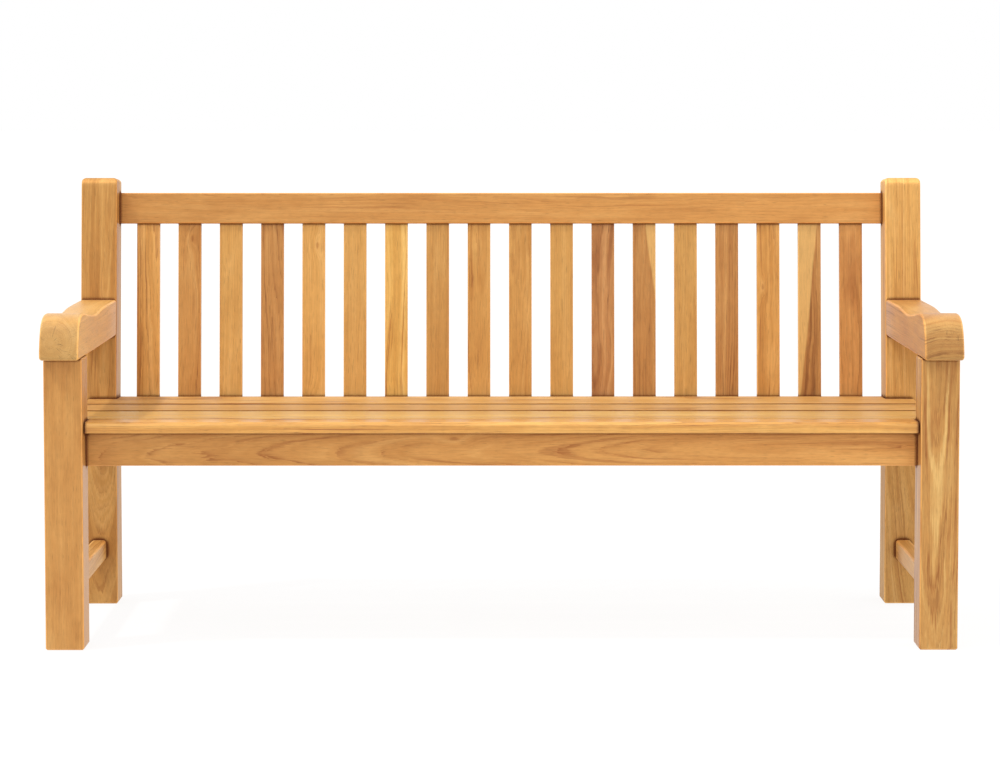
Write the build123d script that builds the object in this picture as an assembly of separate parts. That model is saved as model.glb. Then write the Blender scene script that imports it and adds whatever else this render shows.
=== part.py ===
from build123d import *
import math
import os

os.makedirs("parts", exist_ok=True)

# Slatted hardwood garden bench, millimetres, +Z up, front towards -Y.
# Right-hand pieces are drawn on +X and mirrored for the left.

# ---- overall and legs ----
leg_outer = 900.0          # centre line to the outer face of a leg
leg_size = 76.0            # square section of all four legs
front_leg_y = -285.0       # front face of the front legs
back_leg_y = 210.0         # front face of the back legs below the bend
bend_z = 450.0             # height where the back legs lean back
rake = 4.85                # lean of the back, degrees from vertical
post_length = 467.0        # raked length of the post above the bend
leg_round = 3.5            # softened upright edges
foot_chamfer = 3.0
leg_top_chamfer = 2.5      # under the arm
post_front_round = 18.0    # roll over the front of the post top
post_back_round = 8.0
post_side_round = 10.0

# ---- arms ----
arm_inner = 825.0
arm_outer = 902.0
arm_bottom = 577.0
arm_nose_y = -324.53
arm_back_top = 654.0       # arm height where it meets the post
arm_round = 5.5            # softened edges of the arms
arm_chin = 8.0             # radius under the nose

# ---- rails and stretchers ----
apron_y = -241.0           # front face of the front seat rail
apron_thickness = 28.0
apron_bottom = 360.0
apron_top = 428.0
side_rail_inner = 852.0
side_rail_outer = 882.0
side_rail_bottom = 362.0
stretcher_inner = 847.5
stretcher_outer = 879.5
stretcher_bottom = 98.5
stretcher_top = 138.5
stretcher_round = 7.0
back_rail_front = 43.0     # back rails sit this far behind the post face
back_rail_thickness = 28.0
top_rail_low = 370.0       # along the rake, measured from the bend
top_rail_high = 436.0
low_rail_low = -74.0
low_rail_high = -4.0
rail_round = 3.0
bearer_x = 275.0           # two front-to-back bearers under the seat
bearer_width = 26.0
bearer_bottom = 368.0

# ---- slats ----
back_slat_count = 18
back_slat_width = 49.0
back_slat_thickness = 15.0
back_slat_shift = -3.0   # the row of slats was set a little to the left of the middle
seat_slat_thickness = 21.0
seat_slat_extra = [0.5, 0.0, 0.8, 1.4]   # how much thicker each dished slat was planed
seat_gap = 10.0
seat_slat_round = 2.0
seat_half_length = 882.0
front_slat_y = -269.0
front_slat_rear = -211.0
front_slat_top = 450.0
front_slat_half_length = 821.5
post_clearance = 3.0
# dished line of the seat top at the slat joints: (y, z)
seat_line = [(-207.0, 449.5), (-95.0, 443.0), (17.0, 439.5), (129.0, 440.0), (251.0, 442.5)]

# ---- joinery ----
tenon_length = 34.0
long_tenon = 40.0
slat_tenon_length = 18.0
tenon_root = 2.0           # how far a slat tenon starts inside its slat
tenon_thickness = 12.0
tenon_bottom_gap = 1.0     # space left at the bottom of every mortise
peg_radius = 4.0
peg_length = 40.0
plug_radius = 5.0
plug_depth = 7.0
screw_length = 35.0
screw_radius = 2.2
screw_head_radius = 4.2
screw_head_height = 3.0
front_screw_x = (-700.0, -350.0, 0.0, 350.0, 700.0)

# ---- values that follow from the above ----
leg_inner = leg_outer - leg_size
leg_centre = leg_outer - leg_size / 2
front_leg_back = front_leg_y + leg_size
back_leg_back = back_leg_y + leg_size
slope = math.tan(math.radians(rake))
back_plane = Location((0, back_leg_y, bend_z), (-rake, 0, 0))
back_rail_back = back_rail_front + back_rail_thickness
back_centre = back_rail_front + back_rail_thickness / 2


def block(x0, x1, y0, y1, z0, z1):
    """Block between two opposite corners."""
    return Pos((x0 + x1) / 2, (y0 + y1) / 2, (z0 + z1) / 2) * Box(x1 - x0, y1 - y0, z1 - z0)


def side_board(outline, x0, x1):
    """Board whose side view is a closed outline of (y, z) points."""
    wire = Polyline(*[(x0, y, z) for y, z in outline], close=True)
    return extrude(make_face(wire), amount=x1 - x0, dir=(1, 0, 0))


def ease(solid, radius, axis):
    """Round every straight edge that runs along an axis."""
    return fillet(solid.edges().filter_by(axis), radius)


def post_front(z):
    """Where the raked front face of a post is at height z."""
    return back_leg_y + (z - bend_z) * slope


def low_rail_front(z):
    """Where the raked front face of the lower back rail is at height z."""
    shift = back_rail_front / math.cos(math.radians(rake))
    return back_leg_y + shift + (z - bend_z) * slope


def peg(x, y, z, direction):
    """Wooden peg whose outer end is at a point and which runs inwards."""
    at = Plane(origin=(x, y, z), z_dir=direction)
    return at * extrude(Circle(peg_radius), amount=peg_length)


def left_of(solid):
    """The left-hand copy of a right-hand piece."""
    return mirror(solid, about=Plane.YZ)


def save(name, solid):
    """Write one node."""
    solid.label = name
    export_step(solid, f"parts/{name}.step")


# ------------------------------------------------------------------ tenons
# Each one is a function of the extra depth wanted for its mortise.

def apron_tenon(extra):
    y0 = apron_y + (apron_thickness - tenon_thickness) / 2
    return block(leg_inner - 2, leg_inner + tenon_length + extra, y0, y0 + tenon_thickness,
                 apron_bottom + 10, apron_top - 12)


def side_rail_tenons(extra):
    x0 = (side_rail_inner + side_rail_outer - tenon_thickness) / 2
    x1 = x0 + tenon_thickness
    z0 = side_rail_bottom + 10
    z1 = side_rail_bottom + 48
    front = block(x0, x1, front_leg_back - long_tenon - extra, front_leg_back + 2, z0, z1)
    rear = block(x0, x1, back_leg_y - 2, back_leg_y + long_tenon + extra, z0, z1)
    return front, rear


def stretcher_tenons(extra):
    x0 = (stretcher_inner + stretcher_outer - tenon_thickness) / 2
    x1 = x0 + tenon_thickness
    z0 = stretcher_bottom + 6
    z1 = stretcher_top - 8
    front = block(x0, x1, front_leg_back - long_tenon - extra, front_leg_back + 2, z0, z1)
    rear = block(x0, x1, back_leg_y - 2, back_leg_y + long_tenon + extra, z0, z1)
    return front, rear


def low_rail_tenon(extra):
    y0 = back_centre - tenon_thickness / 2
    return back_plane * block(leg_inner - 2, leg_inner + tenon_length + extra, y0, y0 + tenon_thickness,
                              low_rail_low + 12, low_rail_high - 14)


def top_rail_tenon(extra):
    y0 = back_centre - tenon_thickness / 2
    return back_plane * block(leg_inner - 2, leg_inner + long_tenon + extra, y0, y0 + tenon_thickness,
                              top_rail_low + 8, top_rail_high - 10)


def arm_tenon(extra):
    y0 = post_front(arm_bottom) - 2
    return block(leg_centre - 15, leg_centre + 15, y0, post_front(640) + long_tenon + extra,
                 arm_bottom + 12, arm_bottom + 58)


def leg_tenon(extra):
    y0 = front_leg_y + 22
    return block(leg_centre - 16, leg_centre + 16, y0, y0 + 32, arm_bottom - 2, arm_bottom + 40 + extra)


def bearer_tenons(x, extra):
    half = tenon_thickness / 2
    front = block(x - half, x + half, apron_y + apron_thickness - 12 - extra, apron_y + apron_thickness + 2,
                  bearer_bottom + 8, bearer_bottom + 40)
    rear = block(x - half, x + half, low_rail_front(400) - 6, low_rail_front(400) + 13 + extra,
                 bearer_bottom + 12, bearer_bottom + 40)
    return front, rear


def slat_tenon(x, z0, z1):
    return back_plane * block(x - 19, x + 19, back_centre - 4.5, back_centre + 4.5, z0, z1)


# ------------------------------------------------------------------ pegs, right-hand side
right_pegs = []
for z in (apron_bottom + 20, apron_top - 22):
    right_pegs.append(peg(leg_inner + 17, front_leg_back, z, (0, -1, 0)))
for z in (side_rail_bottom + 19, side_rail_bottom + 39):
    right_pegs.append(peg(leg_outer, front_leg_back - 19, z, (-1, 0, 0)))
    right_pegs.append(peg(leg_outer, back_leg_y + 19, z, (-1, 0, 0)))
for y in (front_leg_back - 19, back_leg_y + 19):
    right_pegs.append(peg(leg_outer, y, (stretcher_bottom + stretcher_top) / 2 - 1, (-1, 0, 0)))
for z in (low_rail_low + 25, low_rail_high - 27):
    right_pegs.append(back_plane * peg(leg_inner + 17, leg_size + 4.2, z, (0, -1, 0)))
for z in (top_rail_low + 20, top_rail_high - 22):
    right_pegs.append(back_plane * peg(leg_inner + 20, leg_size, z, (0, -1, 0)))
right_pegs.append(peg(leg_outer, post_front(612) + 22, 612, (-1, 0, 0)))
right_pegs.append(peg(arm_outer, front_leg_y + 38, arm_bottom + 20, (-1, 0, 0)))

# ------------------------------------------------------------------ legs
right_front_leg = block(leg_inner, leg_outer, front_leg_y, front_leg_back, 0, arm_bottom)
right_front_leg = ease(right_front_leg, leg_round, Axis.Z)
right_front_leg = chamfer(right_front_leg.faces().sort_by(Axis.Z)[0].edges(), foot_chamfer)
right_front_leg = chamfer(right_front_leg.faces().sort_by(Axis.Z)[-1].edges(), leg_top_chamfer)
right_front_leg += leg_tenon(0)
right_front_leg -= apron_tenon(tenon_bottom_gap)
right_front_leg -= side_rail_tenons(tenon_bottom_gap)[0]
right_front_leg -= stretcher_tenons(tenon_bottom_gap)[0]


def leaning_point(y, z):
    """Side-view point given along and across the raked part of the post."""
    a = math.radians(rake)
    return back_leg_y + y * math.cos(a) + z * math.sin(a), bend_z - y * math.sin(a) + z * math.cos(a)


# the bend on the back face sits lower so the raked part keeps the full section
back_bend_z = bend_z - leg_size * math.tan(math.radians(rake / 2))
post_side = [
    (back_leg_y, 0),
    (back_leg_back, 0),
    (back_leg_back, back_bend_z),
    leaning_point(leg_size, post_length),
    leaning_point(0, post_length),
    (back_leg_y, bend_z),
]
right_back_leg = side_board(post_side, leg_inner, leg_outer)
across = right_back_leg.edges().filter_by(Axis.X).sort_by(Axis.Z)[-2:].sort_by(Axis.Y)
right_back_leg = fillet(across[0], post_front_round)
across = right_back_leg.edges().filter_by(Axis.X).group_by(Axis.Y)[-1].sort_by(Axis.Z)
right_back_leg = fillet(across[-1], post_back_round)
sides = right_back_leg.faces().filter_by(Axis.X)
upright = [e for f in sides for e in f.edges() if e.center().Z > 1]
right_back_leg = fillet(upright, leg_round)
# the two side edges of the post top are rolled over with a larger radius
envelope = block(leg_inner, leg_outer, -100, 200, -600, post_length)
crown = envelope.edges().filter_by(Axis.Y).group_by(Axis.Z)[-1]
envelope = fillet(crown, post_side_round)
right_back_leg = right_back_leg & (back_plane * envelope)
foot = right_back_leg.faces().sort_by(Axis.Z)[0]
right_back_leg = chamfer(foot.edges(), foot_chamfer)
right_back_leg -= side_rail_tenons(tenon_bottom_gap)[1]
right_back_leg -= stretcher_tenons(tenon_bottom_gap)[1]
right_back_leg -= low_rail_tenon(tenon_bottom_gap)
right_back_leg -= top_rail_tenon(tenon_bottom_gap)
right_back_leg -= arm_tenon(tenon_bottom_gap)

# ------------------------------------------------------------------ arms
chin_z = arm_bottom + arm_chin
crest = Spline(
    (0, post_front(arm_back_top), arm_back_top),
    (0, 110, 653.7),
    (0, 45, 653.2),
    (0, 5, 651.3),
    (0, -30, 648.8),
    (0, -65, 647.8),
    (0, -105, 649.3),
    (0, -155, 654),
    (0, -205, 660),
    (0, -248, 663.5),
    (0, -284, 657),
    (0, -304, 643),
    (0, -318, 617),
    (0, arm_nose_y, chin_z),
    tangents=((0, -1, 0), (0, 0, -1)),
)
bulge = arm_chin * (1 - math.sqrt(0.5))
chin = ThreePointArc(
    (0, arm_nose_y, chin_z),
    (0, arm_nose_y + bulge, arm_bottom + bulge),
    (0, arm_nose_y + arm_chin, arm_bottom),
)
under = Polyline(
    (0, arm_nose_y + arm_chin, arm_bottom),
    (0, post_front(arm_bottom), arm_bottom),
    (0, post_front(arm_back_top), arm_back_top),
)
arm_side = make_face([crest, chin, under])
right_arm = Pos(arm_inner, 0, 0) * extrude(arm_side, amount=arm_outer - arm_inner, dir=(1, 0, 0))
sides = right_arm.faces().filter_by(Axis.X)
rim = [e for f in sides for e in f.edges() if e.center().Y < back_leg_y]
right_arm = fillet(rim, arm_round)
right_arm += arm_tenon(0)
right_arm -= leg_tenon(tenon_bottom_gap)

# ------------------------------------------------------------------ stretchers and seat rails
under_seat = [(y, z - seat_slat_thickness) for y, z in seat_line]


def under_slats(y):
    """Height of the underside of the seat slats at y."""
    points = under_seat
    for (y0, z0), (y1, z1) in zip(points, points[1:]):
        if y <= y1 or (y1, z1) == points[-1]:
            return z0 + (z1 - z0) * (y - y0) / (y1 - y0)


def dished_outline(y0, y1, bottom):
    """Side view with a flat bottom and a top edge that follows the seat dish."""
    top = [(y0, under_slats(max(y0, seat_line[0][0])))]
    top += [p for p in under_seat if y0 < p[0] < y1]
    top += [(y1, under_slats(y1))]
    return [(y0, bottom)] + top + [(y1, bottom)]


side_rail_outline = dished_outline(front_leg_back, back_leg_y, side_rail_bottom)
side_rail = side_board(side_rail_outline, side_rail_inner, side_rail_outer)
low_edges = side_rail.edges().filter_by(Axis.Y).group_by(Axis.Z)[0]
side_rail = fillet(low_edges, rail_round)
for tenon in side_rail_tenons(0):
    side_rail += tenon

stretcher = block(
    stretcher_inner, stretcher_outer, front_leg_back, back_leg_y, stretcher_bottom, stretcher_top
)
long_edges = stretcher.edges().filter_by(Axis.Y)
stretcher = fillet(long_edges.group_by(Axis.Z)[-1], stretcher_round)
stretcher = fillet(stretcher.edges().filter_by(Axis.Y).group_by(Axis.Z)[0], rail_round)
for tenon in stretcher_tenons(0):
    stretcher += tenon

apron = block(-leg_inner, leg_inner, apron_y, apron_y + apron_thickness, apron_bottom, apron_top)
apron = ease(apron, rail_round, Axis.X)
apron += apron_tenon(0) + left_of(apron_tenon(0))

low_rail = block(-leg_inner, leg_inner, back_rail_front, back_rail_back, low_rail_low, low_rail_high)
low_rail = back_plane * ease(low_rail, 2.0, Axis.X)
low_rail += low_rail_tenon(0) + left_of(low_rail_tenon(0))

top_rail = block(-leg_inner, leg_inner, back_rail_front, back_rail_back, top_rail_low, top_rail_high)
top_rail = back_plane * ease(top_rail, rail_round, Axis.X)
top_rail += top_rail_tenon(0) + left_of(top_rail_tenon(0))

bearer_end = back_leg_back
for step in range(6):
    bearer_end = low_rail_front(under_slats(bearer_end))
bearers = []
for x in (-bearer_x, bearer_x):
    outline = dished_outline(apron_y + apron_thickness, bearer_end, bearer_bottom)
    outline[-1] = (low_rail_front(bearer_bottom), bearer_bottom)
    outline[1] = (apron_y + apron_thickness, apron_top)
    outline.insert(2, (front_slat_rear + 1, apron_top))
    bearer = side_board(outline, x - bearer_width / 2, x + bearer_width / 2)
    for tenon in bearer_tenons(x, 0):
        bearer += tenon
    for tenon in bearer_tenons(x, tenon_bottom_gap):
        if tenon.center().Y < 0:
            apron -= tenon
        else:
            low_rail -= tenon
    bearers.append(bearer)

# ------------------------------------------------------------------ back slats
bay = (2 * leg_inner - back_slat_count * back_slat_width) / (back_slat_count + 1)
back_slats = []
for i in range(back_slat_count):
    x = back_slat_shift - leg_inner + bay * (i + 1) + back_slat_width * (i + 0.5)
    x0 = x - back_slat_width / 2
    y0 = back_centre - back_slat_thickness / 2
    slat = block(x0, x0 + back_slat_width, y0, y0 + back_slat_thickness, low_rail_high, top_rail_low)
    slat = back_plane * ease(slat, 2.0, Axis.Z)
    slat_foot = low_rail_high - slat_tenon_length
    slat_head = top_rail_low + slat_tenon_length
    slat += slat_tenon(x, slat_foot, low_rail_high + tenon_root)
    slat += slat_tenon(x, top_rail_low - tenon_root, slat_head)
    low_rail -= slat_tenon(x, slat_foot - tenon_bottom_gap, low_rail_high + tenon_root)
    top_rail -= slat_tenon(x, top_rail_low - tenon_root, slat_head + tenon_bottom_gap)
    back_slats.append(slat)

# ------------------------------------------------------------------ seat slats
front_slat = block(
    -front_slat_half_length, front_slat_half_length, front_slat_y, front_slat_rear, apron_top, front_slat_top
)
long_edges = front_slat.edges().filter_by(Axis.X).sort_by(Axis.Y)
front_slat = fillet(long_edges[:2].sort_by(Axis.Z)[-1], 8.0)
front_slat = fillet(front_slat.edges().filter_by(Axis.X).group_by(Axis.Y)[-1], 2.5)
front_slat = fillet(front_slat.edges().filter_by(Axis.X).group_by(Axis.Z)[0].sort_by(Axis.Y)[0], 2.0)
seat_slats = [front_slat]
for (y0, z0), (y1, z1), extra in zip(seat_line, seat_line[1:], seat_slat_extra):
    fall = (z1 - z0) / (y1 - y0)
    half_gap = seat_gap / 2
    ends = [(y0 + half_gap, z0 + half_gap * fall), (y1 - half_gap, z1 - half_gap * fall)]
    outline = [(y, z + extra) for y, z in ends] + [(y, z - seat_slat_thickness) for y, z in reversed(ends)]
    slat = side_board(outline, -seat_half_length, seat_half_length)
    corners = slat.edges().filter_by(Axis.X)
    slat = fillet(corners.sort_by(Axis.Y)[:2].sort_by(Axis.Z)[-1], seat_slat_round)
    slat = fillet(slat.edges().filter_by(Axis.X).sort_by(Axis.Y)[-2:], seat_slat_round)
    if y1 > back_leg_y:
        for side in (-1, 1):
            inner = side * (leg_inner - post_clearance)
            outer = side * (leg_outer + 5)
            slat -= block(min(inner, outer), max(inner, outer), back_leg_y - post_clearance, 300, 300, 500)
    seat_slats.append(slat)

# ------------------------------------------------------------------ seat screws and their plugs
hung_from_top = (Align.CENTER, Align.CENTER, Align.MAX)
shank = Cylinder(screw_radius, screw_length - screw_head_height, align=hung_from_top)
screw_head = Cone(screw_radius, screw_head_radius, screw_head_height, align=hung_from_top)
screw_stack = Pos(0, 0, -screw_head_height) * shank + screw_head
screw_stack = Pos(0, 0, -plug_depth) * screw_stack
plug = Cylinder(plug_radius, plug_depth, align=hung_from_top)

apron_middle = apron_y + apron_thickness / 2
screw_spots = [(0, Location((x, apron_middle, front_slat_top))) for x in front_screw_x]
side_x = (side_rail_inner + side_rail_outer) / 2
for i, ((y0, z0), (y1, z1)) in enumerate(zip(seat_line, seat_line[1:]), start=1):
    tilt = math.degrees(math.atan2(z1 - z0, y1 - y0))
    for x in (-side_x, -bearer_x, bearer_x, side_x):
        short = y1 > back_leg_y and abs(x) > leg_inner
        middle = (y0 + back_leg_y) / 2 if short else (y0 + y1) / 2
        reach = 17 if short else 27
        for y in (middle - reach, middle + reach):
            z = z0 + (z1 - z0) * (y - y0) / (y1 - y0) + seat_slat_extra[i - 1]
            screw_spots.append((i, Location((x, y, z), (tilt, 0, 0))))

screws = []
plugs = []
for i, spot in screw_spots:
    screw = spot * screw_stack
    cap = spot * plug
    seat_slats[i] = seat_slats[i] - screw - cap
    x = spot.position.X
    if i == 0:
        apron -= screw
    elif abs(x) < leg_inner:
        side = 0 if x < 0 else 1
        bearers[side] = bearers[side] - screw
    screws.append(screw)
    plugs.append(cap)
    if x > leg_inner:
        side_rail -= screw

# ------------------------------------------------------------------ peg holes
for hole in right_pegs:
    for_rails = left_of(hole)
    right_front_leg = right_front_leg - hole
    right_back_leg = right_back_leg - hole
    right_arm = right_arm - hole
    side_rail = side_rail - hole
    stretcher = stretcher - hole
    apron = apron - hole - for_rails
    low_rail = low_rail - hole - for_rails
    top_rail = top_rail - hole - for_rails

# ------------------------------------------------------------------ write the nodes
pairs = [
    ("front_leg", right_front_leg),
    ("back_leg", right_back_leg),
    ("armrest", right_arm),
    ("side_seat_rail", side_rail),
    ("side_stretcher", stretcher),
]
for name, solid in pairs:
    save(f"{name}_right", solid)
    save(f"{name}_left", left_of(solid))

save("front_seat_rail", apron)
save("lower_back_rail", low_rail)
save("top_back_rail", top_rail)
save("seat_bearer_left", bearers[0])
save("seat_bearer_right", bearers[1])
for i, slat in enumerate(seat_slats, start=1):
    save(f"seat_slat_{i}", slat)
for i, slat in enumerate(back_slats, start=1):
    save(f"back_slat_{i:02d}", slat)
save("joint_pegs", Compound(children=right_pegs + [left_of(p) for p in right_pegs]))
save("seat_slat_screws", Compound(children=screws))
save("seat_slat_plugs", Compound(children=plugs))
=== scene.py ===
import math

import bpy
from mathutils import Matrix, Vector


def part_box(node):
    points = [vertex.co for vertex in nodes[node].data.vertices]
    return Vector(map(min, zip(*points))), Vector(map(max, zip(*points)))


# Garden bench in oiled hardwood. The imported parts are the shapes; this script
# gives every board its own timber, then sets the floor, the light and the camera.

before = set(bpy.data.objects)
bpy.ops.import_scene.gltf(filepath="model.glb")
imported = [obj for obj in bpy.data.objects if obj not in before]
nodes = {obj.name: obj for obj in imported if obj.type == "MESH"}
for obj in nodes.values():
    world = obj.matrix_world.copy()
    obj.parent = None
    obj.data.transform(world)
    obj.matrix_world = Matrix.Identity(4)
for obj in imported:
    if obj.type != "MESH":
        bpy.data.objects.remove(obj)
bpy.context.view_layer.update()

X = (1.0, 0.0, 0.0)
Y = (0.0, 1.0, 0.0)
Z = (0.0, 0.0, 1.0)
RAKE = math.radians(4.85)            # lean of the back
RAKED = (0.0, math.sin(RAKE), math.cos(RAKE))
RAKED_NORMAL = (0.0, math.cos(RAKE), -math.sin(RAKE))


# ---------------------------------------------------------------- node helpers

def linear(red, green, blue):
    """Linear colour from 0-255 display numbers."""
    def one(v):
        v = v / 255.0
        return v / 12.92 if v <= 0.04045 else ((v + 0.055) / 1.055) ** 2.4
    return (one(red), one(green), one(blue), 1.0)


class Graph:
    """Short ways to add shader nodes to one material."""

    def __init__(self, name):
        self.material = bpy.data.materials.new(name)
        self.material.use_nodes = True
        self.tree = self.material.node_tree
        self.tree.nodes.clear()

    def add(self, kind):
        return self.tree.nodes.new(kind)

    def join(self, value, socket):
        """Link a socket, or set a plain number, vector or colour."""
        if isinstance(value, bpy.types.NodeSocket):
            self.tree.links.new(value, socket)
        else:
            socket.default_value = value

    def math(self, operation, a, b=0.0, c=0.0, clamp=False):
        node = self.add("ShaderNodeMath")
        node.operation = operation
        node.use_clamp = clamp
        for socket, value in zip(node.inputs, (a, b, c)):
            self.join(value, socket)
        return node.outputs[0]

    def vector(self, operation, a, b=(0.0, 0.0, 0.0)):
        node = self.add("ShaderNodeVectorMath")
        node.operation = operation
        self.join(a, node.inputs[0])
        self.join(b, node.inputs[1])
        return node.outputs["Value" if operation in ("DOT_PRODUCT", "LENGTH") else "Vector"]

    def scale(self, vector, factor):
        node = self.add("ShaderNodeVectorMath")
        node.operation = "SCALE"
        self.join(vector, node.inputs[0])
        self.join(factor, node.inputs["Scale"])
        return node.outputs["Vector"]

    def combine(self, x, y, z):
        node = self.add("ShaderNodeCombineXYZ")
        for socket, value in zip(node.inputs, (x, y, z)):
            self.join(value, socket)
        return node.outputs[0]

    def noise(self, coords, detail=2.0, roughness=0.5, distortion=0.0):
        node = self.add("ShaderNodeTexNoise")
        self.join(coords, node.inputs["Vector"])
        node.inputs["Scale"].default_value = 1.0
        node.inputs["Detail"].default_value = detail
        node.inputs["Roughness"].default_value = roughness
        node.inputs["Distortion"].default_value = distortion
        return node.outputs["Fac"]

    def smooth(self, value, low, high, to_low=0.0, to_high=1.0):
        node = self.add("ShaderNodeMapRange")
        node.interpolation_type = "SMOOTHSTEP"
        names = ("Value", "From Min", "From Max", "To Min", "To Max")
        for name, setting in zip(names, (value, low, high, to_low, to_high)):
            self.join(setting, node.inputs[name])
        return node.outputs[0]

    def blend(self, amount, a, b, mode="MIX"):
        node = self.add("ShaderNodeMix")
        node.data_type = "RGBA"
        node.blend_type = mode
        self.join(amount, node.inputs["Factor"])
        self.join(a, node.inputs["A"])
        self.join(b, node.inputs["B"])
        return node.outputs["Result"]

    def relief(self, height, strength, distance, shader):
        """Bump on a shader's normal."""
        bump = self.add("ShaderNodeBump")
        bump.inputs["Strength"].default_value = strength
        bump.inputs["Distance"].default_value = distance
        self.join(height, bump.inputs["Height"])
        self.join(bump.outputs[0], shader.inputs["Normal"])

    def surface(self, shader):
        """End the graph with this shader and give back the material."""
        out = self.add("ShaderNodeOutputMaterial")
        self.join(shader.outputs[0], out.inputs["Surface"])
        return self.material


# ---------------------------------------------------------------- timber

# pale, middle and dark colour of the growth bands, and the colour of dark lines
TONES = {
    "straw": ((233, 191, 114), (217, 168, 89), (198, 143, 67), (150, 84, 31)),
    "butter": ((232, 180, 100), (215, 156, 76), (195, 132, 57), (146, 78, 26)),
    "honey": ((227, 180, 111), (209, 157, 86), (189, 133, 66), (146, 78, 30)),
    "amber": ((218, 168, 99), (200, 146, 78), (177, 120, 57), (134, 68, 27)),
    "tawny": ((226, 171, 101), (208, 148, 80), (184, 121, 58), (140, 70, 28)),
    "figured": ((235, 187, 114), (206, 149, 81), (164, 98, 46), (120, 60, 24)),
    "brown": ((210, 157, 94), (190, 133, 73), (161, 102, 51), (112, 57, 23)),
    "russet": ((204, 150, 95), (181, 125, 73), (146, 89, 48), (100, 50, 24)),
}
SAP = (230, 184, 112)
# painted shade: the dark brown laid into joints, corners and seat gaps
SHADE_BROWN = (96, 38, 6)
SHADE_REACH = 0.011                   # how far the painted shade reaches out of a joint, metres
WARM = (1.0, 0.83, 0.62, 1.0)        # reflections pick up the colour of the oil
PALE = (1.0, 1.0, 1.0, 1.0)          # plain reflections, where the oil has worn off


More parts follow.
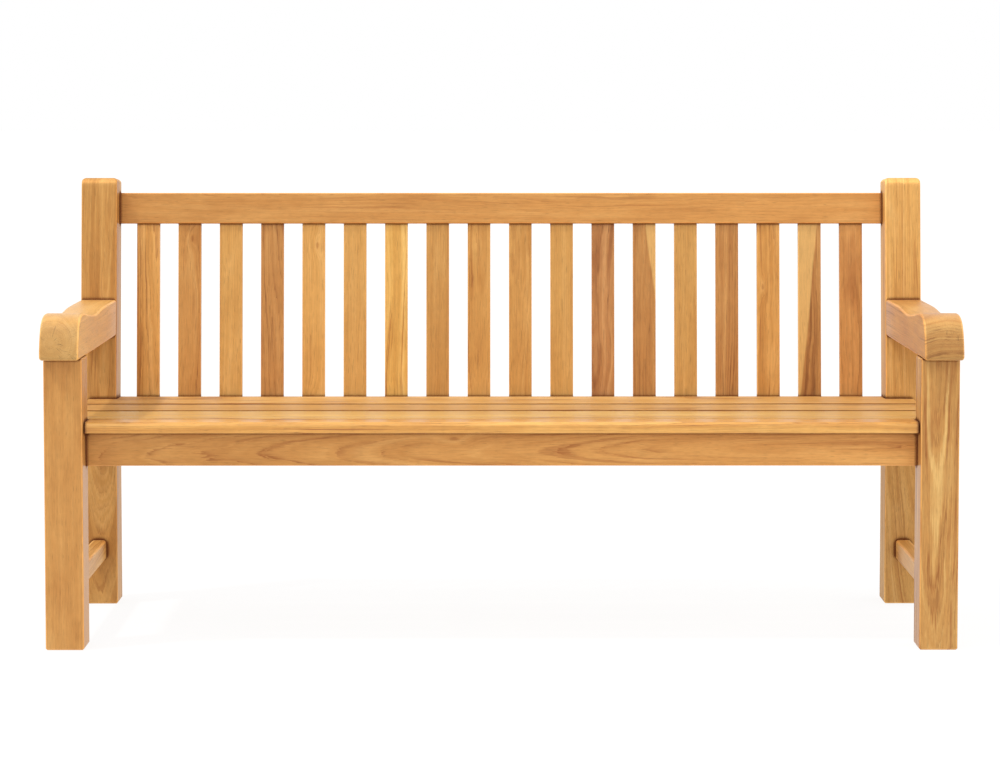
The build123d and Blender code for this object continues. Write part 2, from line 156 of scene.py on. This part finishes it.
def timber(
    name, centre, directions, tone, seed,
    pith=(0.03, -0.07), tilt=(0.012, 0.02), ring=0.0052, wave=1.0, feather=0.0014,
    bands=0.5, lines=0.4, veins=0.4, cloud=0.5, knots=(), sap=None,
    shade=1.0, fade=0.0, arris=0.36, gaps=0.0, scrolled=False, checks=0.5, end=(1.0, 0.12),
    rough=0.42, sheen=0.4, cast=WARM,
):
    """The material of one board, as if it were cut from a log.

    centre: the board's middle, metres. directions: along its grain, across its wide face
    and through its thickness.
    pith: where the log's heart passes that middle, across wide and thick.
    tilt: how fast the heart drifts away along the grain. ring: the width of one year.
    wave: how much the grain wanders. feather: how far the bands fray along the fibres.
    bands, lines, veins, cloud: strength of broad years, ring lines, dark veins, slow drift.
    knots: (along, across, size) on the wide face. sap: (offset, slope, side) of sapwood.
    shade: brightness. fade: how fast it lightens along the grain, per metre.
    arris: painted highlight, how much paler the rounded edges are. scrolled: a shaped board, not a
    square one.
    gaps: painted shade, how dark the long edges are that face a neighbour.
    checks: drying cracks on the ends. end: contrast and darkening of the end grain.
    rough, sheen, cast: roughness, and the strength and colour of the reflection.
    """
    g = Graph(name)
    grain, wide, thick = directions
    geometry = g.add("ShaderNodeTexCoord")
    point = g.vector("SUBTRACT", geometry.outputs["Object"], centre)
    along = g.vector("DOT_PRODUCT", point, grain)
    across = g.vector("DOT_PRODUCT", point, wide)
    deep = g.vector("DOT_PRODUCT", point, thick)

    def field(per_along, per_side, offset, detail=2.0, roughness=0.5):
        """Noise in the board's own directions, in features per metre."""
        coords = g.combine(
            g.math("MULTIPLY_ADD", along, per_along, offset),
            g.math("MULTIPLY", across, per_side),
            g.math("MULTIPLY", deep, per_side),
        )
        return g.noise(coords, detail, roughness)

    # slow wander of the grain, with a smaller ripple on it
    wander = g.math("MULTIPLY_ADD", field(2.6, 10.0, seed), 0.02 * wave, -0.01 * wave)
    wander = g.math("MULTIPLY_ADD", field(14.0, 60.0, seed + 9.0), 0.0026, wander)

    knot_dark = 0.0
    for k_along, k_across, size in knots:
        offset = g.combine(
            g.math("MULTIPLY", g.math("SUBTRACT", along, k_along), 0.45),
            g.math("SUBTRACT", across, k_across),
            0.0,
        )
        reach = g.math("DIVIDE", g.vector("LENGTH", offset), size)
        ragged = field(90.0, 160.0, seed + k_along)
        reach = g.math("MULTIPLY_ADD", ragged, 0.7, g.math("SUBTRACT", reach, 0.35))
        falloff = g.math("POWER", g.math("MULTIPLY", reach, 0.4), 2.0)
        push = g.math("EXPONENT", g.math("MULTIPLY", falloff, -1.0))
        wander = g.math("MULTIPLY_ADD", push, size * 1.9, wander)
        knot_dark = g.math("MAXIMUM", g.smooth(reach, 0.95, 0.3), knot_dark)

    # distance from the heart of the log
    side_a = g.math("SUBTRACT", g.math("SUBTRACT", across, pith[0]), g.math("MULTIPLY", along, tilt[0]))
    side_b = g.math("SUBTRACT", g.math("SUBTRACT", deep, pith[1]), g.math("MULTIPLY", along, tilt[1]))
    radius = g.math("SQRT", g.math("ADD", g.math("POWER", side_a, 2.0), g.math("POWER", side_b, 2.0)))
    radius = g.math("ADD", radius, wander)

    # fibres and open pores, short and fine
    fibre = field(7.0, 560.0, seed + 2.0, 2.0, 0.6)
    fleck = field(60.0, 1250.0, seed + 3.0, 1.0, 0.5)
    pore = g.smooth(field(45.0, 1000.0, seed + 5.0, 0.0), 0.68, 0.76)
    fray = field(9.0, 420.0, seed + 6.0, 2.0, 0.6)
    radius = g.math("MULTIPLY_ADD", fray, 2.0 * feather, g.math("SUBTRACT", radius, feather))

    # broad bands of better and worse years, with feathered edges
    across_years = g.math("MULTIPLY_ADD", radius, 95.0, seed * 3.1)
    years = g.noise(g.combine(across_years, g.math("MULTIPLY", along, 1.1), seed), 4.0, 0.66)
    # one thin line a year, sharp on the outside, that comes and goes along the board
    uneven = g.math("MULTIPLY_ADD", years, 2.4, g.math("DIVIDE", radius, ring))
    line = g.math("POWER", g.math("FRACT", uneven), 7.0)
    line = g.math("MULTIPLY", line, g.smooth(field(3.5, 40.0, seed + 21.0), 0.4, 0.6))
    # narrow dark veins that follow the years
    across_veins = g.math("MULTIPLY_ADD", radius, 300.0, seed * 5.3)
    vein = g.noise(g.combine(across_veins, g.math("MULTIPLY", along, 2.2), seed + 4.0), 1.0, 0.5)
    broken = g.smooth(field(3.5, 26.0, seed + 33.0), 0.42, 0.58)
    vein = g.math("MULTIPLY", g.smooth(vein, 0.6, 0.66), broken)

    # slow drifts of tone
    drift = field(5.5, 17.0, seed * 1.7, 3.0, 0.58)
    mottle = field(48.0, 75.0, seed + 12.0, 3.0, 0.6)

    facing = g.math("ABSOLUTE", g.vector("DOT_PRODUCT", geometry.outputs["Normal"], grain))
    on_end = g.smooth(facing, 0.5, 0.9)
    contrast = g.math("MULTIPLY_ADD", on_end, (end[0] - 1.0) * bands, bands)

    pale, middle, dark, ink = (linear(*c) for c in TONES[tone])
    colour = g.blend(g.math("MULTIPLY", g.smooth(years, 0.5, 0.39), contrast), middle, dark)
    colour = g.blend(g.math("MULTIPLY", g.smooth(years, 0.51, 0.62), contrast), colour, pale)
    colour = g.blend(g.math("MULTIPLY", g.smooth(drift, 0.5, 0.78), cloud), colour, pale)
    colour = g.blend(g.math("MULTIPLY", g.smooth(drift, 0.5, 0.24), cloud), colour, dark)
    colour = g.blend(g.math("MULTIPLY", vein, veins), colour, ink)
    colour = g.blend(g.math("MULTIPLY", line, lines), colour, ink)

    if sap:
        offset, slope, side = sap
        edge = g.math("MULTIPLY_ADD", along, slope, g.math("SUBTRACT", across, offset))
        edge = g.math("ADD", edge, g.math("MULTIPLY", wander, 0.7))
        edge = g.math("MULTIPLY", edge, side)
        colour = g.blend(g.math("MULTIPLY", g.smooth(edge, -0.0015, 0.0025), 0.75), colour, linear(*SAP))
    if knots:
        colour = g.blend(g.math("MULTIPLY", knot_dark, 0.42), colour, ink)

    # end grain drinks more oil, and dries into cracks that run out from the heart
    angle = g.math("ARCTAN2", side_a, side_b)
    around = g.combine(g.math("MULTIPLY", angle, 4.3), g.math("MULTIPLY", radius, 9.0), seed + 1.0)
    crack = g.noise(around, 2.0, 0.5)
    crack = g.math("MULTIPLY", g.math("ABSOLUTE", g.math("SUBTRACT", crack, 0.5)), radius)
    crack = g.math("MULTIPLY", g.smooth(crack, 0.00032, 0.00008), g.smooth(radius, 0.005, 0.012))
    crack = g.math("MULTIPLY", crack, g.smooth(field(45.0, 45.0, seed + 7.0), 0.44, 0.56))
    crack = g.math("MULTIPLY", crack, g.math("MULTIPLY", on_end, checks))

    light = g.math("MULTIPLY_ADD", fibre, 0.34, 0.84)
    light = g.math("MULTIPLY", light, g.math("MULTIPLY_ADD", fleck, 0.26, 0.87))
    light = g.math("MULTIPLY", light, g.math("MULTIPLY_ADD", mottle, 0.2, 0.9))
    light = g.math("MULTIPLY", light, g.math("MULTIPLY_ADD", pore, -0.24, 1.0))
    light = g.math("MULTIPLY", light, g.math("MULTIPLY_ADD", on_end, -end[1], 1.0))
    light = g.math("MULTIPLY", light, g.math("MULTIPLY_ADD", crack, -0.45, 1.0))

    # painted highlight: the rounded arrises are made paler, as if light caught them
    on_side = g.math("ABSOLUTE", g.vector("DOT_PRODUCT", geometry.outputs["Normal"], wide))
    if scrolled:
        edge_highlight = g.math("MULTIPLY", g.smooth(on_side, 0.2, 0.5), g.smooth(on_side, 0.99, 0.9))
    else:
        on_face = g.math("ABSOLUTE", g.vector("DOT_PRODUCT", geometry.outputs["Normal"], thick))
        edge_highlight = g.smooth(g.math("MAXIMUM", g.math("MAXIMUM", on_side, on_face), facing), 0.985, 0.88)
    base = g.math("MULTIPLY_ADD", along, fade, shade)
    light = g.math("MULTIPLY", light, g.math("MULTIPLY_ADD", edge_highlight, arris, base))
    colour = g.scale(colour, light)

    # painted shade: ambient occlusion darkens every joint and corner towards a dark brown, where shade
    # falls
    corner = g.add("ShaderNodeAmbientOcclusion")
    corner.samples = 8
    corner.inputs["Distance"].default_value = SHADE_REACH
    off_floor = g.smooth(g.vector("DOT_PRODUCT", geometry.outputs["Object"], Z), 0.003, 0.03)
    painted_shade = g.math("MULTIPLY", g.smooth(corner.outputs["AO"], 0.9, 0.62), off_floor)
    # painted shade in the seat gaps, on the long edges that face a neighbour
    if gaps:
        painted_shade = g.math("MAXIMUM", painted_shade, g.smooth(on_side, 0.45, 0.8, 0.0, gaps))
    colour = g.blend(g.math("MULTIPLY", painted_shade, 0.95), colour, linear(*SHADE_BROWN))

    shader = g.add("ShaderNodeBsdfPrincipled")
    g.join(colour, shader.inputs["Base Color"])
    dull = g.math("MULTIPLY_ADD", drift, 0.16, rough - 0.1)
    dull = g.math("ADD", dull, g.math("MULTIPLY", mottle, 0.06))
    dull = g.math("ADD", dull, g.math("MULTIPLY", on_end, 0.15))
    g.join(g.math("ADD", dull, g.math("MULTIPLY", painted_shade, 0.35)), shader.inputs["Roughness"])
    shader.inputs["Specular IOR Level"].default_value = sheen
    shader.inputs["Specular Tint"].default_value = cast
    height = g.math("MULTIPLY_ADD", fibre, 0.5, g.math("MULTIPLY", line, -0.3))
    height = g.math("SUBTRACT", height, g.math("MULTIPLY", pore, 0.5))
    height = g.math("SUBTRACT", height, g.math("MULTIPLY", crack, 1.5))
    g.relief(height, 0.35, 0.0003, shader)
    return g.surface(shader)


def wear(node, material):
    mesh = nodes[node].data
    mesh.materials.clear()
    mesh.materials.append(material)


def board(node, directions, tone, seed, **look):
    """Give one CAD board its timber, centred on the board."""
    low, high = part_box(node)
    centre = tuple((low + high) / 2)
    wear(node, timber(f"timber_{node}", centre, directions, tone, seed, **look))


# grain, wide face and thickness of the boards that run each way
UP_BACK = (RAKED, X, RAKED_NORMAL)
ALONG_BACK = (X, RAKED, RAKED_NORMAL)
ALONG_SEAT = (X, Y, Z)
ALONG_APRON = (X, Z, Y)
FRONT_TO_BACK = (Y, Z, X)
ALONG_ARM = (Y, X, Z)
UP_LEG = (Z, X, Y)

# back slats, left to right: tone, and what marks each one out
BACK_SLATS = [
    ("amber", dict(pith=(0.02, -0.05), bands=0.7, lines=0.6, veins=0.5, shade=1.10)),
    ("tawny", dict(pith=(-0.01, -0.04), wave=1.6, bands=0.6, shade=0.82,
                   knots=[(0.155, 0.006, 0.0045)])),
    ("honey", dict(pith=(0.06, 0.03), bands=0.3, veins=0.15, shade=0.93)),
    ("brown", dict(pith=(0.035, -0.06), bands=0.6, lines=0.5, shade=0.91)),
    ("honey", dict(pith=(-0.05, -0.03), bands=0.35, veins=0.2, shade=1.00,
                   knots=[(0.14, 0.008, 0.005), (-0.19, -0.002, 0.005)])),
    ("honey", dict(pith=(0.09, 0.02), bands=0.25, lines=0.25, veins=0.1, shade=0.93)),
    ("straw", dict(pith=(0.045, -0.03), wave=1.3, bands=0.6, lines=0.7, veins=0.6, shade=1.00)),
    ("amber", dict(pith=(0.08, 0.01), bands=0.3, veins=0.15, shade=0.90)),
    ("amber", dict(pith=(0.005, -0.05), bands=0.8, lines=0.8, veins=0.9, shade=0.98)),
    ("amber", dict(pith=(-0.01, -0.045), wave=1.4, bands=0.5, shade=0.95)),
    ("honey", dict(pith=(0.1, -0.02), bands=0.2, lines=0.2, veins=0.1, shade=0.91)),
    ("russet", dict(pith=(-0.02, -0.05), wave=1.8, bands=0.8, veins=0.8, cloud=0.8, shade=0.97)),
    ("brown", dict(pith=(0.05, 0.04), bands=0.5, sap=(0.0284, 0.132, 1.0), shade=0.89)),
    ("honey", dict(pith=(0.08, -0.05), bands=0.3, veins=0.2, shade=0.89)),
    ("brown", dict(pith=(-0.06, 0.02), bands=0.6, lines=0.6, veins=0.6, shade=0.92)),
    ("amber", dict(pith=(0.03, 0.05), wave=1.5, bands=0.7, veins=0.5, shade=1.10,
                   knots=[(0.05, -0.012, 0.004)])),
    ("brown", dict(pith=(-0.02, -0.06), bands=0.8, lines=0.6, veins=0.5, shade=0.89,
                   sap=(-0.001, -0.105, -1.0))),
    ("brown", dict(pith=(0.04, -0.08), bands=0.4, veins=0.2, cloud=0.9, shade=1.10)),
]
for i, (tone, look) in enumerate(BACK_SLATS, start=1):
    heart_drift = (0.02 - 0.004 * (i % 7), 0.016)
    board(f"back_slat_{i:02d}", UP_BACK, tone, 7.3 + 2.9 * i, tilt=heart_drift, **look)

# seat slats, front to back: the front one is polished by use
SEAT_SLATS = [
    ("butter", dict(pith=(0.02, -0.09), shade=0.965, rough=0.34, sheen=0.5, arris=0.04, cast=PALE)),
    ("straw", dict(pith=(-0.03, -0.06), shade=0.88, rough=0.44, gaps=1.0)),
    ("straw", dict(pith=(0.05, -0.05), shade=0.88, rough=0.46, gaps=1.0)),
    ("honey", dict(pith=(-0.02, -0.08), shade=0.87, rough=0.52, gaps=1.0)),
    ("honey", dict(pith=(0.04, -0.07), shade=0.95, rough=0.58, gaps=1.0)),
]
for i, (tone, look) in enumerate(SEAT_SLATS, start=1):
    board(f"seat_slat_{i}", ALONG_SEAT, tone, 61.0 + 3.7 * i,
          tilt=(0.006, 0.01), bands=0.5, lines=0.7, veins=0.6, **look)

# rails and stretchers
board("top_back_rail", ALONG_BACK, "tawny", 101.0, pith=(0.05, -0.08), tilt=(0.01, 0.012),
      bands=0.3, lines=0.3, veins=0.3, shade=0.885, fade=0.08)
board("lower_back_rail", ALONG_BACK, "amber", 105.0)
board("front_seat_rail", ALONG_APRON, "tawny", 109.0, pith=(-0.004, -0.052), tilt=(0.01, 0.055),
      wave=0.8, ring=0.006, bands=0.4, lines=0.7, veins=0.35, knots=[(-0.094, 0.02, 0.006)],
      shade=0.96, fade=0.13)
for side, seed in (("left", 120.0), ("right", 127.0)):
    board(f"side_seat_rail_{side}", FRONT_TO_BACK, "amber", seed)
    board(f"side_stretcher_{side}", FRONT_TO_BACK, "honey", seed + 3.0, pith=(0.05, 0.05))
    board(f"seat_bearer_{side}", FRONT_TO_BACK, "brown", seed + 5.0)

# legs, posts and arms
board("front_leg_left", UP_LEG, "tawny", 141.0, pith=(0.1, -0.06), tilt=(0.012, 0.01),
      bands=0.15, lines=0.12, veins=0.1, cloud=0.8, shade=0.82, rough=0.36)
board("front_leg_right", UP_LEG, "figured", 149.0, pith=(-0.008, -0.06), tilt=(0.012, 0.05),
      wave=1.8, bands=1.0, lines=0.4, veins=0.5, cloud=0.5, shade=0.8, rough=0.36, feather=0.003)
board("back_leg_left", UP_BACK, "amber", 153.0, pith=(0.01, -0.07), tilt=(0.02, 0.03),
      bands=0.7, veins=0.3, shade=0.88, knots=[(-0.128, 0.02, 0.0045)])
# fade darkens the lower leg: painted shade where the seat shades it
board("back_leg_right", UP_BACK, "honey", 161.0, pith=(0.03, -0.06), tilt=(-0.015, 0.02),
      bands=0.6, veins=0.5, shade=0.92, fade=0.3, sheen=0.25, rough=0.5, cast=PALE)
board("armrest_left", ALONG_ARM, "honey", 171.0, pith=(-0.012, -0.006), tilt=(0.01, 0.01),
      bands=0.4, lines=0.25, veins=0.2, checks=1.0, end=(0.7, 0.25), scrolled=True,
      rough=0.38, shade=1.02, sheen=0.7, fade=0.1)
board("armrest_right", ALONG_ARM, "figured", 177.0, pith=(0.01, -0.16), tilt=(0.01, 0.02),
      bands=0.22, lines=0.5, veins=0.45, checks=0.7, end=(1.7, 0.26), scrolled=True,
      rough=0.38, shade=0.92, sheen=0.5)

# plugs and pegs
board("seat_slat_plugs", ALONG_SEAT, "brown", 191.0, ring=0.002)
board("joint_pegs", ALONG_ARM, "brown", 197.0, ring=0.002)


def brass(name):
    """Dull brass of the hidden screws, with turning marks and tarnish."""
    g = Graph(name)
    coords = g.add("ShaderNodeTexCoord").outputs["Object"]
    tarnish = g.noise(g.vector("MULTIPLY", coords, (260.0, 260.0, 260.0)), 3.0, 0.6)
    turning = g.noise(g.vector("MULTIPLY", coords, (300.0, 300.0, 4200.0)), 1.0, 0.5)
    shader = g.add("ShaderNodeBsdfPrincipled")
    metal = g.blend(g.smooth(tarnish, 0.35, 0.7), linear(198, 160, 86), linear(128, 92, 44))
    g.join(metal, shader.inputs["Base Color"])
    shader.inputs["Metallic"].default_value = 1.0
    g.join(g.math("MULTIPLY_ADD", tarnish, 0.3, 0.2), shader.inputs["Roughness"])
    g.relief(turning, 0.3, 0.0001, shader)
    return g.surface(shader)


wear("seat_slat_screws", brass("screw_brass"))

# ---------------------------------------------------------------- floor, light and camera

FLOOR_REACH = 60.0                   # the floor runs out of sight on every side, metres
FLOOR_DROP = 0.0005                  # it lies just under the feet


def paper_white(name):
    """White studio floor that glows enough to hide where it ends."""
    g = Graph(name)
    coords = g.add("ShaderNodeTexCoord").outputs["Object"]
    paper = g.noise(g.vector("MULTIPLY", coords, (3.0, 3.0, 3.0)), 3.0, 0.5)
    shader = g.add("ShaderNodeBsdfPrincipled")
    g.join(g.blend(paper, linear(94, 94, 94), linear(100, 100, 100)), shader.inputs["Base Color"])
    shader.inputs["Roughness"].default_value = 0.9
    shader.inputs["Specular IOR Level"].default_value = 0.0
    shader.inputs["Emission Color"].default_value = (1.0, 1.0, 1.0, 1.0)
    shader.inputs["Emission Strength"].default_value = 0.89
    return g.surface(shader)


floor_mesh = bpy.data.meshes.new("floor")
corners = [(x * FLOOR_REACH, y * FLOOR_REACH, 0.0) for x, y in ((-1, -1), (1, -1), (1, 1), (-1, 1))]
floor_mesh.from_pydata(corners, [], [(0, 1, 2, 3)])
floor_mesh.materials.append(paper_white("floor_white"))
floor = bpy.data.objects.new("floor", floor_mesh)
bpy.context.scene.collection.objects.link(floor)
floor.location.z = -FLOOR_DROP

world = bpy.data.worlds.new("studio")
world.use_nodes = True
bpy.context.scene.world = world
background = world.node_tree.nodes["Background"]
background.inputs["Color"].default_value = (1.0, 1.0, 1.0, 1.0)
background.inputs["Strength"].default_value = 1.0


def softbox(name, energy, spread, tilt, turn):
    """Distant light as wide as spread, tilted from overhead and turned, all in degrees."""
    light = bpy.data.lights.new(name, "SUN")
    light.energy = energy
    light.angle = math.radians(spread)
    lamp = bpy.data.objects.new(name, light)
    lamp.rotation_euler = (math.radians(tilt), 0.0, math.radians(turn))
    bpy.context.scene.collection.objects.link(lamp)


softbox("front_fill", 0.4, 40, 50, -10)
softbox("right_fill", 0.7, 60, 65, 80)
softbox("left_window", 1.15, 4, 29, -65)

# the camera stands in front of the middle of the bench, a little above it
lens = bpy.data.cameras.new("camera")
lens.sensor_width = 36.0
lens.lens = 100.48
lens.shift_y = -0.13
looks_down = 3.389
looks_right = 0.12
camera = bpy.data.objects.new("camera", lens)
camera.location = (-0.0149, -5.7368, 1.1150)
camera.rotation_euler = (math.radians(90.0 - looks_down), 0.0, math.radians(-looks_right))
bpy.context.scene.collection.objects.link(camera)
bpy.context.scene.camera = camera
bpy.context.scene.view_settings.view_transform = "Standard"
